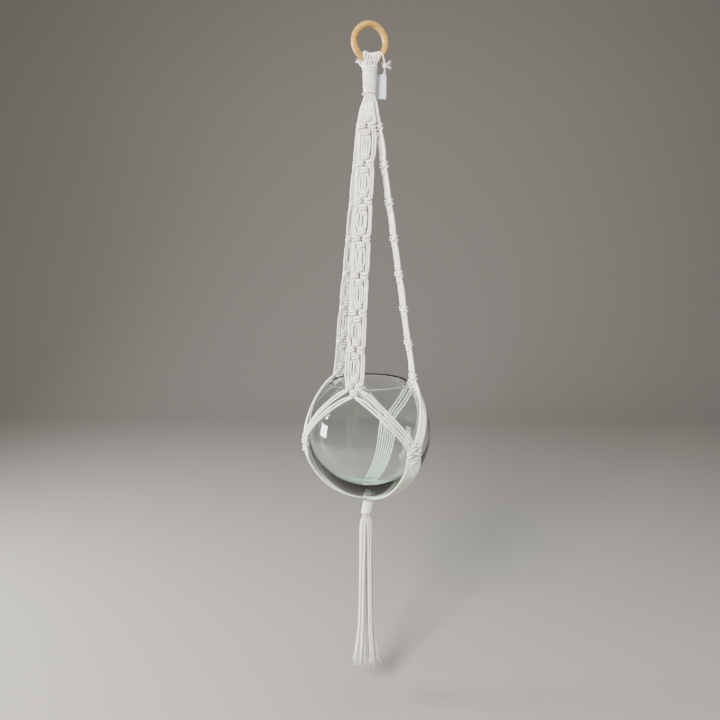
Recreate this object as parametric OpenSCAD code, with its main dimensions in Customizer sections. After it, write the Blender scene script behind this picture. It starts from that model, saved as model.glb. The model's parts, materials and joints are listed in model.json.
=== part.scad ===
// Hanging macrame planter: twelve folded cotton cords hang from a wooden ring,
// come down as three knotted straps, net a glass globe and end in a tassel.
// Origin at the centre of the ring, +Z up, ring face towards -Y, millimetres.
// Azimuths are measured from -Y towards +X.

/* [Ring] */
// Outer diameter of the wooden ring
ring_outer_d = 60; // [54:1:72]
// Thickness of the ring's round section
ring_tube_d = 10; // [8:0.5:11]

/* [Cord] */
// Diameter of a free cord
cord_d = 3.2; // [2.6:0.1:3.8]
// Diameter of a cord pressed into its loop over the ring
loop_cord_d = 2.6; // [2:0.1:2.8]
// Diameter of a cord squeezed inside the top wrapping
collar_cord_d = 2.2; // [1.8:0.1:2.3]
// Diameter of a cord squeezed inside the bottom wrapping
heel_cord_d = 1.85; // [1.4:0.05:1.9]
// Distance between the loops along the ring
loop_pitch = 3.7; // [3.5:0.1:3.8]
// Clearance between the ring and the innermost loops
loop_clearance = 1.5; // [1.4:0.1:1.8]

/* [Top wrapping] */
// Gap between the ring and the top wrapping
collar_gap = 3; // [2.5:0.5:5]
// Length of the top wrapping
collar_length = 42; // [36:1:60]
// Thickness of the top wrapping's wound cord
collar_wall = 3; // [2.4:0.1:4]
// Number of turns in the top wrapping
collar_turns = 12; // [10:1:14]

/* [Straps] */
// Azimuth of the first strap
strap_turn = -40; // [-60:5:0]
// Distance between neighbouring cords of a strap
lane_pitch = 4.2; // [4:0.1:4.8]
// Radius of the straps at their top end
strap_top_r = 11.4; // [11.2:0.2:13]
// Height of a strap along its cords
strap_length = 424; // [300:1:560]
// Number of knot diamonds on each strap
diamonds = 8; // [3:1:9]
// Distance between the diamonds along a strap
diamond_pitch = 56; // [44:1:56]
// Distance from the last diamond to the foot of the strap
last_diamond_up = 16.6; // [16:0.2:20]
// Height of one square knot
knot_height = 8.4; // [6:0.2:9]
// Depth of one square knot
knot_depth = 6.2; // [5:0.2:6.4]
// Distance between the knots of a diamond
knot_step = 10; // [9.2:0.2:12]
// Clearance between the shares of neighbouring cords in a knot
knot_clearance = 0.1; // [0.05:0.05:0.3]

/* [Globe] */
// Widest outer diameter of the glass globe
globe_d = 200; // [160:1:240]
// Half height of the globe's outer ellipse
globe_h = 106.9; // [85:0.1:130]
// Outer diameter of the globe at its rim
rim_d = 122; // [100:1:140]
// Diameter of the globe's flat foot
foot_d = 46; // [30:1:60]
// Wall thickness of the glass
glass_wall = 2.5; // [2:0.5:4]
// Thickness of the glass at the middle of the foot
glass_foot = 10.5; // [6:0.5:16]
// Gap between the foot of the straps and the top of the rim
rim_gap = 10.5; // [8:0.5:14]
// Clearance between the net cords and the glass
net_clearance = 0.8; // [0.5:0.1:2]

/* [Net] */
// Radial gap between the glass and the middle of a junction's cords
junction_gap = 4.5; // [4:0.5:8]
// Depth of the junctions below the widest level
junction_down = 12; // [6:1:20]

/* [Bottom wrapping] */
// Thickness of the bottom wrapping's wound cord
heel_wall = 2.4; // [2:0.1:3.2]
// Length of the bottom wrapping
heel_length = 24.5; // [20:0.5:40]
// Number of turns in the bottom wrapping
heel_turns = 7; // [6:1:12]

/* [Tassel] */
// Length of the tassel below the bottom wrapping
tassel_length = 266; // [180:1:340]
// Diameter of a cord in the tassel
tassel_cord_d = 2.9; // [2.2:0.1:2.9]
// Clearance in the joint between the cords and the tassel
tassel_clearance = 0.8; // [0.6:0.1:1.2]

/* [Label] */
// Width of the fabric label
label_w = 17; // [12:1:20]
// Height of the fabric label
label_h = 36; // [25:1:45]
// Thickness of the fabric label
label_t = 0.8; // [0.4:0.1:1.5]
// Diameter of the label's cord
label_cord_d = 2.4; // [1.6:0.2:2.6]
// Inner radius of the label cord's loop around the ring
label_loop_r = 9.5; // [9.5:0.5:12]
// Distance of the label's loop from the middle of the ring
label_loop_x = 17; // [16:0.5:19]

/* [Hidden] */
$fn = 32;
STRAPS = 3;
LANES = 8;
COLUMNS = 6;
SECTOR = 360 / STRAPS;
CORDS = 12;

// which strap and which lane each end of a folded cord becomes, by column
FRONT_OUTER = [[0, 2], [0, 4], [0, 6], [0, 5], [0, 7], [1, 0]];
FRONT_INNER = [[0, 0], [0, 1], [0, 3], [1, 1], [1, 3], [1, 2]];
BACK_OUTER = [[2, 6], [2, 4], [2, 2], [2, 0], [1, 7], [1, 6]];
BACK_INNER = [[2, 7], [2, 5], [2, 3], [2, 1], [1, 5], [1, 4]];

ring_r = (ring_outer_d - ring_tube_d) / 2;
loop_inner_r = ring_tube_d / 2 + loop_clearance + loop_cord_d / 2;
loop_layer = loop_cord_d + 0.5;
// each bend is a ball a little thicker than the cord, and straight
// lengths stop this far from its centre
elbow = 1.07;
gather_elbow = 1.12;
bend_gap = 0.3;

// bundle layout inside the top wrapping: lanes alternate between two radii
bundle_far = 2.48 * collar_cord_d;
bundle_near = 1.455 * collar_cord_d;
bundle_step = 0.603 * collar_cord_d;
fan_spread = 1.35;
fan_cord_d = min(cord_d, 3);

collar_top = -ring_outer_d / 2 - collar_gap;
collar_bottom = collar_top - collar_length;
collar_bore_r = norm([bundle_far, 3 * bundle_step]) + collar_cord_d / 2 + 0.1;
collar_outer_r = collar_bore_r + collar_wall;
collar_mouth_r = (COLUMNS - 1) / 2 * loop_pitch + loop_cord_d / 2 + 1.15;
collar_mouth_depth = 9;
mouth_wall = 1;
fan_z = collar_bottom - 5;
strap_top_z = collar_bottom - 31;

globe_r = globe_d / 2;
rim_r = rim_d / 2;
// heights of the rim and the foot from the widest level
rim_up = globe_h * sqrt(1 - pow(rim_r / globe_r, 2));
foot_down = globe_h * sqrt(1 - pow(foot_d / globe_d, 2));
// the strap leans out until its cords clear the glass at its foot
strap_bottom_r = globe_r * sqrt(1 - pow((rim_up - rim_gap) / globe_h, 2)) + 3.3;
strap_lean = asin((strap_bottom_r - strap_top_r) / strap_length);
strap_bottom_z = strap_top_z - strap_length * cos(strap_lean);
globe_z = strap_bottom_z + rim_gap - rim_up;
foot_z = globe_z - foot_down;
net_r = cord_d / 2 + net_clearance;

junction_r = globe_r + junction_gap;
junction_z = globe_z - junction_down;
junction_top = junction_z + 12;
junction_bottom = junction_z - 16;

// each cord leaves the strap a little lower than the one outside it
leave_rise = [0, 2.5, 9, 11.5];
// and arrives a little higher towards the middle of the junction
arrive_rise = [6, 4, 2, 0];

gather_z = foot_z - 5;
gather_r = 15.2;
gather_pitch = 3.45;
heel_top = foot_z - 14;
heel_bottom = heel_top - heel_length;
heel_near = (heel_cord_d + 0.09) / (2 * sin(SECTOR / LANES));
heel_far = heel_near + 0.95 * heel_cord_d;
heel_bore_r = heel_far + heel_cord_d / 2 + 0.1;

// tassel joint: a round head of cord ends turning in a round seat
head_r = heel_bore_r + 0.1;
seat_r = head_r + tassel_clearance;

label_pivot_z = -sqrt(pow(ring_r, 2) - pow(label_loop_x, 2));
label_left = collar_outer_r + 2.7;
label_top = -44;
label_y = 3;
label_knot = [24.5, 0, -34];
label_knot_r = 3;

// tassel route of one cord: [depth below the joint, spread]
TASSEL_ROUTE = [[6, 1], [14, 1.3], [26, 1.62], [70, 1.65], [120, 1.72], [170, 1.9], [210, 2.3], [240, 2.8], [266, 3.5]];

CORD_NAMES = [for (i = [1:CORDS]) str("cord_", i)];
TASSEL_NAMES = [for (i = [1:2 * CORDS]) str("tassel_strand_", i)];

function strap_azimuth(strap) = strap_turn + SECTOR * strap;
function lane_x(lane) = (lane - (LANES - 1) / 2) * lane_pitch;
function from_middle(lane) = floor(abs(lane - (LANES - 1) / 2));

// a point at radius r and sideways offset t of the plane facing an azimuth
function facing(azimuth, r, t, z) = [
  r * sin(azimuth) + t * cos(azimuth),
  -r * cos(azimuth) + t * sin(azimuth),
  z
];

function bundle_point(strap, lane, spread, z) = facing(
  strap_azimuth(strap),
  spread * (lane % 2 == 0 ? bundle_far : bundle_near),
  spread * bundle_step * (lane - 3),
  z
);

function globe_radius(z) = globe_r * sqrt(max(0, 1 - pow((z - globe_z) / globe_h, 2)));
function strap_r(z) = strap_top_r + (strap_top_z - z) * tan(strap_lean);

// where a strap's cord leaves it for the net
function leave_z(lane) = strap_bottom_z + leave_rise[from_middle(lane)];
function leave_point(strap, lane) = facing(
  strap_azimuth(strap), strap_r(leave_z(lane)), lane_x(lane), leave_z(lane)
);

// the junction lane that a strap's lane runs into, and the junction's azimuth
function net_lane(lane) = (lane + LANES / 2) % LANES;
function net_azimuth(strap, lane) = strap_azimuth(strap) + (lane < LANES / 2 ? -1 : 1) * SECTOR / 2;
function arrive_point(strap, lane) = facing(
  net_azimuth(strap, lane),
  junction_r,
  lane_x(net_lane(lane)),
  junction_top + arrive_rise[from_middle(net_lane(lane))]
);

// the middle of the net cord, halfway along the shortest way over the glass
function azimuth_of(p) = atan2(p[0], -p[1]);
function on_globe(p) =
  let (q = [p[0] / globe_r, p[1] / globe_r, (p[2] - globe_z) / globe_h])
  q / norm(q);
function shoulder_point(a, b) =
  let (middle = on_globe(a) + on_globe(b))
  let (z = globe_z + globe_h * middle[2] / norm(middle))
  facing(azimuth_of(middle), globe_radius(z) + net_r, 0, z);

// under the globe: a point beside the lower curve, and the gathering point
function gather_t(lane) = (lane - (LANES - 1) / 2) * gather_pitch;
function gather_point(azimuth, lane) = facing(
  azimuth, sqrt(pow(gather_r, 2) - pow(gather_t(lane), 2)), gather_t(lane), gather_z
);
cradle_angle = 47;
cradle_r = globe_r * cos(cradle_angle) + net_clearance + 1.4;
cradle_z = globe_z - globe_h * sin(cradle_angle) - net_clearance - 1.5;
cradle_share = (junction_r - cradle_r) / (junction_r - gather_r);
function cradle_point(azimuth, lane) = facing(
  azimuth,
  cradle_r,
  lane_x(lane) * (1 - cradle_share) + gather_t(lane) * cradle_share,
  cradle_z
);

function heel_r(lane) = lane % 2 == 0 ? heel_far : heel_near;
function heel_azimuth(azimuth, lane) = azimuth + (lane - (LANES - 1) / 2) * SECTOR / LANES;
function heel_point(azimuth, lane, z) = facing(heel_azimuth(azimuth, lane), heel_r(lane), 0, z);

// the circle through three points
function unit(v) = v / norm(v);
function circle_centre(a, b, c) =
  let (u = b - a, v = c - a, w = cross(u, v))
  a + (cross(w, u) * (v * v) + cross(v, w) * (u * u)) / (2 * (w * w));

module arc(a, b, c, d) {
  centre = circle_centre(a, b, c);
  x = unit(a - centre);
  n = unit(cross(b - a, c - a));
  y = cross(n, x);
  sweep = (atan2((c - centre) * y, (c - centre) * x) + 360) % 360;
  gap = bend_gap / norm(a - centre) * 180 / PI;
  multmatrix([
    [x[0], y[0], n[0], centre[0]],
    [x[1], y[1], n[1], centre[1]],
    [x[2], y[2], n[2], centre[2]]
  ])
    rotate([0, 0, gap])
      rotate_extrude(angle = sweep - 2 * gap, $fn = 180)
        translate([norm(a - centre), 0])
          circle(d = d, $fn = 20);
}

// a straight length of cord, with a round bend at its far end
module rod(a, b, d1, d2, bend = true) {
  v = b - a;
  length = norm(v) - (bend ? 2 : 1) * bend_gap;
  translate(a)
    rotate([0, acos(v[2] / norm(v)), atan2(v[1], v[0])])
      translate([0, 0, bend_gap])
        cylinder(d1 = d1, d2 = d2, h = length);
  if (bend) translate(b) sphere(d = d2 * elbow);
}

// places children at a distance down a strap
module on_strap(strap, down) {
  rotate([0, 0, strap_azimuth(strap)])
    translate([0, -strap_top_r, strap_top_z])
      rotate([-strap_lean, 0, 0])
        translate([0, 0, -down])
          children();
}

module on_junction(azimuth) {
  rotate([0, 0, azimuth])
    translate([0, -junction_r, junction_z])
      children();
}

// one cord's share of a square knot
module knot_share() {
  w = lane_pitch - knot_clearance;
  translate([0, 0, -knot_height / 2])
    linear_extrude(knot_height) {
      square([w, knot_depth - w], center = true);
      for (side = [-1, 1])
        translate([0, side * (knot_depth - w) / 2])
          circle(d = w, $fn = 24);
    }
}

// the knots that a lane takes part in, in one diamond
module diamond_share(lane) {
  translate([lane_x(lane), 0, 0]) {
    knot_share();
    if (from_middle(lane) < 2)
      for (side = [-1, 1])
        translate([0, 0, side * knot_step])
          knot_share();
  }
}

// one end of a folded cord, from its loop down to the tassel joint
module strand(strap, lane, start) {
  collar_in = bundle_point(strap, lane, 1, collar_top - 9);
  collar_out = bundle_point(strap, lane, 1, collar_bottom);
  fan = bundle_point(strap, lane, fan_spread, fan_z);
  strap_in = facing(strap_azimuth(strap), strap_top_r, lane_x(lane), strap_top_z);
  leave = leave_point(strap, lane);
  arrive = arrive_point(strap, lane);
  m = net_lane(lane);
  azimuth = net_azimuth(strap, lane);
  drop = facing(azimuth, junction_r, lane_x(m), junction_bottom);
  gather = gather_point(azimuth, m);
  heel_in = heel_point(azimuth, m, m % 2 == 0 ? heel_top : heel_top + 5.5);
  reach = heel_r(m) - heel_cord_d / 2;
  heel_out = heel_point(azimuth, m, heel_bottom + sqrt(pow(seat_r, 2) - pow(reach, 2)));

  rod(start, collar_in, loop_cord_d, collar_cord_d);
  rod(collar_in, collar_out, collar_cord_d, collar_cord_d);
  rod(collar_out, fan, collar_cord_d, fan_cord_d);
  rod(fan, strap_in, fan_cord_d, cord_d);
  rod(strap_in, leave, cord_d, cord_d);
  for (i = [0:diamonds - 1])
    on_strap(strap, strap_length - last_diamond_up - i * diamond_pitch)
      diamond_share(lane);
  arc(leave, shoulder_point(leave, arrive), arrive, cord_d);
  translate(arrive) sphere(d = cord_d * elbow);
  rod(arrive, drop, cord_d, cord_d);
  on_junction(azimuth) diamond_share(m);
  arc(drop, cradle_point(azimuth, m), gather, cord_d);
  translate(gather) rotate([0, 90, 0]) sphere(d = cord_d * gather_elbow);
  rod(gather, heel_in, fan_cord_d, heel_cord_d);
  rod(heel_in, heel_out, heel_cord_d, heel_cord_d, bend = false);
}

// half of a loop over the ring, from its side to its top
module loop_half(x, r, z) {
  side = [x, r, z];
  arc(side, [x, r * cos(45), z + abs(r) * sin(45)], [x, 0, z + abs(r)],
      loop_cord_d);
  translate(side) sphere(d = loop_cord_d * elbow);
}

// one folded cord: loops 1 to 6 lie outside, 7 to 12 against the ring
module folded_cord(number) {
  inside = number > COLUMNS;
  column = (number - 1) % COLUMNS;
  x = (column - (COLUMNS - 1) / 2) * loop_pitch;
  r = loop_inner_r + (inside ? 0 : loop_layer);
  front = (inside ? FRONT_INNER : FRONT_OUTER)[column];
  back = (inside ? BACK_INNER : BACK_OUTER)[column];
  z = -sqrt(pow(ring_r, 2) - pow(x, 2));
  front_side = [x, -r, z];
  back_side = [x, r, z];
  color("ivory") {
    union() {
      strand(front[0], front[1], front_side);
      loop_half(x, -r, z);
    }
    union() {
      strand(back[0], back[1], back_side);
      loop_half(x, r, z);
    }
    translate([x, 0, z + r]) sphere(d = loop_cord_d * elbow);
  }
}

module wooden_ring() {
  color("peru")
    rotate([90, 0, 0])
      rotate_extrude($fn = 96)
        translate([ring_r, 0])
          circle(d = ring_tube_d);
}

// a sleeve of wound cord: one bead for each turn
module wound_sleeve(outer_r, bore_r, length, turns) {
  pitch = length / turns;
  bead_r = pitch * 0.52;
  rotate_extrude($fn = 64) {
    translate([bore_r, 0]) square([outer_r - bead_r - bore_r, length]);
    intersection() {
      translate([bore_r, 0]) square([outer_r, length]);
      for (i = [0:turns - 1])
        translate([outer_r - bead_r, pitch * (i + 0.5)]) circle(r = bead_r);
    }
  }
}

module top_wrapping() {
  color("ivory") {
    difference() {
      translate([0, 0, collar_bottom])
        union() {
          wound_sleeve(collar_outer_r, collar_bore_r, collar_length, collar_turns);
          translate([0, 0, collar_length - collar_mouth_depth])
            cylinder(
              r1 = collar_outer_r - 1,
              r2 = collar_mouth_r + mouth_wall,
              h = collar_mouth_depth,
              $fn = 64
            );
        }
      translate([0, 0, collar_top - collar_mouth_depth])
        cylinder(r1 = collar_bore_r, r2 = collar_mouth_r, h = collar_mouth_depth + 0.001, $fn = 64);
      translate([0, 0, collar_bottom - 1])
        cylinder(r = collar_bore_r, h = collar_length - collar_mouth_depth + 2, $fn = 64);
    }
  }
}

module bottom_wrapping() {
  color("ivory")
    difference() {
      translate([0, 0, heel_bottom])
        wound_sleeve(heel_bore_r + heel_wall, heel_bore_r, heel_length, heel_turns);
      translate([0, 0, heel_bottom]) sphere(r = seat_r, $fn = 64);
      translate([0, 0, heel_top - 6])
        cylinder(r1 = heel_bore_r - 0.5, r2 = heel_bore_r + 1.1, h = 6.001, $fn = 64);
    }
}

// the flat in the bottom of the bowl
floor_flat = 0.3;

// half section of an ellipse cut off at its rim and at its foot
function ellipse_side(half_w, half_h, top, bottom, steps) =
  let (first = asin(-bottom / half_h), last = asin(top / half_h))
  [for (i = [0:steps]) let (a = first + (last - first) * i / steps) [half_w * cos(a), half_h * sin(a)]];

module glass_globe() {
  steps = 40;
  inner_r = globe_r - glass_wall;
  inner_h = globe_h - glass_wall;
  bowl_h = foot_down - glass_foot;
  floor_h = bowl_h - floor_flat;
  outer = ellipse_side(globe_r, globe_h, rim_up, foot_down, steps);
  // the wall is even above the middle and thickens below it, towards the foot
  bowl = ellipse_side(inner_r, bowl_h, 0, floor_h, steps / 2);
  shoulder = ellipse_side(inner_r, inner_h, rim_up, 0, steps / 2);
  color("lightcyan", 0.4)
    translate([0, 0, globe_z])
      rotate_extrude($fn = 96)
        difference() {
          polygon(concat([[0, -foot_down]], outer, [[0, rim_up]]));
          polygon(concat(
            [[0, -floor_h]],
            bowl,
            [for (i = [1:steps / 2]) shoulder[i]],
            [[shoulder[steps / 2][0], rim_up + 1], [0, rim_up + 1]]
          ));
        }
}

module label() {
  color("white")
    translate([label_left, label_y, label_top - label_h])
      cube([label_w, label_t, label_h]);
}

// the label's own cord: a loop over the ring, a knot and a tail to the label
module label_cord() {
  r = label_loop_r + label_cord_d / 2;
  front = [label_loop_x, -r, label_pivot_z];
  back = [label_loop_x, r, label_pivot_z];
  corner = [label_left + label_w - 3, label_y + label_t / 2, label_top];
  color("ivory") {
    arc(front, [label_loop_x, 0, label_pivot_z + r], back, label_cord_d);
    for (p = [front, back]) {
      translate(p) sphere(d = label_cord_d * elbow);
      rod(p, label_knot, label_cord_d, label_cord_d);
    }
    translate(label_knot) sphere(r = label_knot_r);
    rod(label_knot, corner, label_cord_d, label_cord_d, bend = false);
  }
}

// one cord end of the tassel, a tube swept along its route
module tassel_strand(number) {
  sides = 8;
  index = number - 1;
  lane = index % LANES;
  azimuth = heel_azimuth(strap_azimuth(0) + SECTOR / 2 + SECTOR * floor(index / LANES), lane);
  r = heel_r(lane);
  top_z = sqrt(pow(head_r, 2) - pow(r + heel_cord_d / 2, 2));
  stretch = tassel_length / TASSEL_ROUTE[len(TASSEL_ROUTE) - 1][0];
  route = concat(
    [[-top_z, 1], [3, 1]],
    [for (p = TASSEL_ROUTE) [p[0] * stretch, p[1]]]
  );
  rings = len(route);
  points = [
    for (i = [0:rings - 1])
      let (thin = min(tassel_cord_d, heel_cord_d * route[i][1]))
        for (s = [0:sides - 1])
          facing(azimuth, r * route[i][1] + thin / 2 * cos(360 * s / sides),
            thin / 2 * sin(360 * s / sides), heel_bottom - route[i][0])
  ];
  walls = [
    for (i = [0:rings - 2], s = [0:sides - 1])
      [i * sides + s, i * sides + (s + 1) % sides, (i + 1) * sides + (s + 1) % sides, (i + 1) * sides + s]
  ];
  top = [for (s = [0:sides - 1]) sides - 1 - s];
  foot = [for (s = [0:sides - 1]) (rings - 1) * sides + s];
  color("ivory") polyhedron(points, concat(walls, [top, foot]));
}

wooden_ring();
top_wrapping();
bottom_wrapping();
glass_globe();
label();
label_cord();
for (i = [1:CORDS])
  folded_cord(i);
for (i = [1:2 * CORDS])
  tassel_strand(i);
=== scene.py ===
# %% [markdown]
# # A hanging macrame planter
#
# Twelve long cotton cords are folded over a varnished wooden ring, wound together, and knotted into
# three flat straps. The straps split into a net that carries a clear glass globe, and the cords end
# in a tassel. This lesson makes each piece in that order, on top of the measured model of the object.

# %% Load the measured model
import json
import math

import bpy
import numpy as np
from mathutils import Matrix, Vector

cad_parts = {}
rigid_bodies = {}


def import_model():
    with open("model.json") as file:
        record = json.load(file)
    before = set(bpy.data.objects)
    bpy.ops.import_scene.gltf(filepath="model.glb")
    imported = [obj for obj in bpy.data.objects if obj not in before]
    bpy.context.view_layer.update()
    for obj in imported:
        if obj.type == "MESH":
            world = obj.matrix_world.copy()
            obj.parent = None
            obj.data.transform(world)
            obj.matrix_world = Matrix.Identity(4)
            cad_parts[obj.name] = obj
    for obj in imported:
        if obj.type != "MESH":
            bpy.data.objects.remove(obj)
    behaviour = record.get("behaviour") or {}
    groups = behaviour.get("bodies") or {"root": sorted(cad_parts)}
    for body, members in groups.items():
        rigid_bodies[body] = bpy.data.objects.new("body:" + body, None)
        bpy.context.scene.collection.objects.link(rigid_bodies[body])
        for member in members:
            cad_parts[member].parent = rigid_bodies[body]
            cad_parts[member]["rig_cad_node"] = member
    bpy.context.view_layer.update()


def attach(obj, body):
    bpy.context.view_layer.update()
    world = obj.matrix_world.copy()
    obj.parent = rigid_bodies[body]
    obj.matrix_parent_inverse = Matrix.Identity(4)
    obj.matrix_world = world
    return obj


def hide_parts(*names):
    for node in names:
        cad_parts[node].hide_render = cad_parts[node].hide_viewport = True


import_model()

# %% [markdown]
# ## The camera
#
# The planter hangs a little above a person's chest and is seen from its left, slightly from above.
# A camera is only a place, two turns and a focal length. It comes first, because every later choice
# of detail depends on what is seen and how large.

# %% The camera
CAMERA_AT = (-0.42195, -1.05806, -0.26584)
LOOKING_DOWN = 10.65
TURNED = -21.0

camera_data = bpy.data.cameras.new("camera")
camera_data.sensor_width = 36.0
camera_data.lens = 36.05
camera = bpy.data.objects.new("camera", camera_data)
camera.location = CAMERA_AT
camera.rotation_euler = (math.radians(90 - LOOKING_DOWN), 0.0, math.radians(TURNED))
bpy.context.scene.collection.objects.link(camera)
bpy.context.scene.camera = camera
print("camera at", CAMERA_AT)

# %% [markdown]
# ## Sizes
#
# These are the driving sizes of the measured model, in millimetres. A macrame maker thinks in
# lanes: each strap has eight strands side by side, and every strand keeps its lane from the wrapping
# at the top to the wrapping below the bowl. Azimuths are measured from the front towards +X.

# %% Sizes, in millimetres
RING_R, RING_TUBE = 25.0, 10.0
CORD, LOOP_CORD, SQUEEZED, HEEL_CORD = 3.2, 3.0, 2.2, 1.9
COLLAR_TOP, COLLAR_LENGTH, COLLAR_R = -33.0, 42.0, 10.8
STRAP_TURN, STRAP_TOP_R, STRAP_LENGTH = -40.0, 11.4, 424.0
DIAMONDS, DIAMOND_PITCH, LAST_DIAMOND_UP, KNOT_STEP = 8, 56.0, 16.6, 10.0
LANE_PITCH, KNOT_HEIGHT = 4.2, 8.4
GLOBE_R, GLOBE_H, RIM_D, FOOT_D = 100.0, 106.9, 122.0, 46.0
GLASS_WALL, GLASS_FOOT, RIM_GAP = 2.5, 10.5, 10.5
JUNCTION_R, JUNCTION_DOWN = 104.5, 12.0
GATHER_R, GATHER_PITCH, CRADLE_ANGLE = 15.2, 3.45, 47.0
FAN_LENGTH, HEEL_GAP, STRAP_OFF_GLASS = 31.0, 14.0, 3.3
HEEL_LENGTH, HEEL_R, TASSEL_LENGTH = 24.5, 8.9, 266.0
MM = 0.001

collar_bottom = COLLAR_TOP - COLLAR_LENGTH
strap_top_z = collar_bottom - FAN_LENGTH
rim_up = GLOBE_H * math.sqrt(1 - (RIM_D / 2 / GLOBE_R) ** 2)
foot_down = GLOBE_H * math.sqrt(1 - (FOOT_D / 2 / GLOBE_R) ** 2)
strap_bottom_r = GLOBE_R * math.sqrt(1 - ((rim_up - RIM_GAP) / GLOBE_H) ** 2) + STRAP_OFF_GLASS
lean = math.asin((strap_bottom_r - STRAP_TOP_R) / STRAP_LENGTH)
strap_bottom_z = strap_top_z - STRAP_LENGTH * math.cos(lean)
globe_z = strap_bottom_z + RIM_GAP - rim_up
foot_z = globe_z - foot_down
junction_z = globe_z - JUNCTION_DOWN
heel_top = foot_z - HEEL_GAP
heel_bottom = heel_top - HEEL_LENGTH
heel_near, heel_far = 3.75, 5.5
LEFT = -111.0
SET = 4.5
print("globe's middle at", round(globe_z, 1), "mm, tassel's top at", round(heel_bottom, 1), "mm")

# %% [markdown]
# ## Smooth routes
#
# A cord is soft, so it never turns a sharp corner. Its route is a short list of given places,
# and a smooth curve is drawn through them. A Catmull-Rom curve passes through every place,
# which a Bezier hull would not, and spacing its steps by the root of the distance keeps it from
# looping where places lie close together, as they do inside a knot.

# %% A smooth route through given places
def facing(azimuth, r, t, z):
    """A point at radius r, t sideways, seen from an azimuth."""
    a = math.radians(azimuth)
    return np.array([r * math.sin(a) + t * math.cos(a), -r * math.cos(a) + t * math.sin(a), z])


def between(a, b, share):
    return a + (b - a) * share


def smooth_route(places, step):
    """places are (point, width); gives rows of x, y, z, width at even distances."""
    p = np.array([[*point, width] for point, width in places], float)
    p = np.vstack([2 * p[0] - p[1], p, 2 * p[-1] - p[-2]])
    rows = []
    for a, b, c, d in zip(p[:-3], p[1:-2], p[2:-1], p[3:]):
        k1 = max(np.linalg.norm(b[:3] - a[:3]), 1e-6) ** 0.5
        k2 = k1 + max(np.linalg.norm(c[:3] - b[:3]), 1e-6) ** 0.5
        k3 = k2 + max(np.linalg.norm(d[:3] - c[:3]), 1e-6) ** 0.5
        k = np.linspace(k1, k2, 14, endpoint=False)[:, None]
        share = (k - k1) / (k2 - k1)
        ab = between(a, b, k / k1)
        bc = between(b, c, share)
        cd = between(c, d, (k - k2) / (k3 - k2))
        rows.append(between(between(ab, bc, k / k2), between(bc, cd, (k - k1) / (k3 - k1)), share))
    rows = np.vstack(rows + [p[-2:-1]])
    run = np.concatenate([[0], np.cumsum(np.linalg.norm(np.diff(rows[:, :3], axis=0), axis=1))])
    even = np.linspace(0, run[-1], max(3, int(round(run[-1] / step)) + 1))
    return np.stack([np.interp(even, run, rows[:, i]) for i in range(4)], axis=1)


# %% [markdown]
# ## Twisted cord
#
# Macrame cotton is three soft plies laid together. A round tube with a texture would look like
# plastic hose, so the plies are in the mesh: each ring of the tube has three rounded lobes, and the
# rings turn slowly along the cord. The corners of the mesh then run along the plies, which keeps the
# groove between two plies crisp with few faces. The frame that carries the rings is slid along
# without spinning, so the twist is the only turning.

# %% Sweeping a twisted cord along a route
class MeshParts:
    """Collects points, faces and a map along the cord, so that many strands can be one mesh."""

    def __init__(self):
        self.points, self.faces, self.along = [], [], []
        self.count = 0

    def add(self, points, faces, along):
        self.points.append(points)
        self.faces.extend([tuple(i + self.count for i in face) for face in faces])
        self.along.append(along)
        self.count += len(points)

    def finish(self, name):
        mesh = bpy.data.meshes.new(name)
        points = np.vstack(self.points) * MM
        mesh.from_pydata(points.tolist(), [], self.faces)
        corner = np.empty(len(mesh.loops), dtype=np.int32)
        mesh.loops.foreach_get("vertex_index", corner)
        layer = mesh.uv_layers.new(name="along")
        layer.data.foreach_set("uv", np.vstack(self.along)[corner].astype(np.float32).ravel())
        mesh.polygons.foreach_set("use_smooth", np.ones(len(mesh.polygons), dtype=bool))
        mesh.update()
        piece = bpy.data.objects.new(name, mesh)
        bpy.context.scene.collection.objects.link(piece)
        return piece


def carried_frames(points):
    """A pair of side directions at each point, slid along the route without spinning."""
    ahead = np.gradient(points, axis=0)
    ahead /= np.linalg.norm(ahead, axis=1)[:, None]
    side = np.empty_like(points)
    first = np.cross(ahead[0], [0.3, 0.9, 0.2])
    side[0] = first / np.linalg.norm(first)
    for i in range(1, len(points)):
        v = side[i - 1] - ahead[i] * np.dot(side[i - 1], ahead[i])
        side[i] = v / np.linalg.norm(v)
    return side, np.cross(ahead, side)


PLY = (0.73, 0.96, 1.05, 0.96)


def sweep(parts, route, lay=11.0, section=PLY * 3, start_turn=0.0):
    """Adds one cord: rings of the given section, one full turn in each lay length."""
    sides = len(section)
    side, other = carried_frames(route[:, :3])
    run = np.concatenate([[0], np.cumsum(np.linalg.norm(np.diff(route[:, :3], axis=0), axis=1))])
    turn = start_turn + 2 * math.pi * (run[:, None] / lay + np.arange(sides)[None, :] / sides)
    radius = route[:, 3:4] / 2 * np.array(section)[None, :]
    ring = (np.cos(turn) * radius)[:, :, None] * side[:, None, :]
    ring = ring + (np.sin(turn) * radius)[:, :, None] * other[:, None, :]
    points = (route[:, None, :3] + ring).reshape(-1, 3)
    rings = len(route)
    points = np.vstack([points, route[0, :3], route[-1, :3]])
    faces = [
        (i * sides + j, i * sides + (j + 1) % sides, (i + 1) * sides + (j + 1) % sides, (i + 1) * sides + j)
        for i in range(rings - 1) for j in range(sides)
    ]
    first, last = rings * sides, rings * sides + 1
    faces += [(first, (j + 1) % sides, j) for j in range(sides)]
    faces += [(last, (rings - 1) * sides + j, (rings - 1) * sides + (j + 1) % sides) for j in range(sides)]
    along = np.stack([np.repeat(run / 10, sides), np.tile(np.arange(sides) / sides, rings)], axis=1)
    along = np.vstack([along, [[0, 0], [run[-1] / 10, 0]]])
    parts.add(points, faces, along)
    return run[-1]


print("a ply has", len(PLY), "corners on each ring, a cord", 3 * len(PLY))

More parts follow.
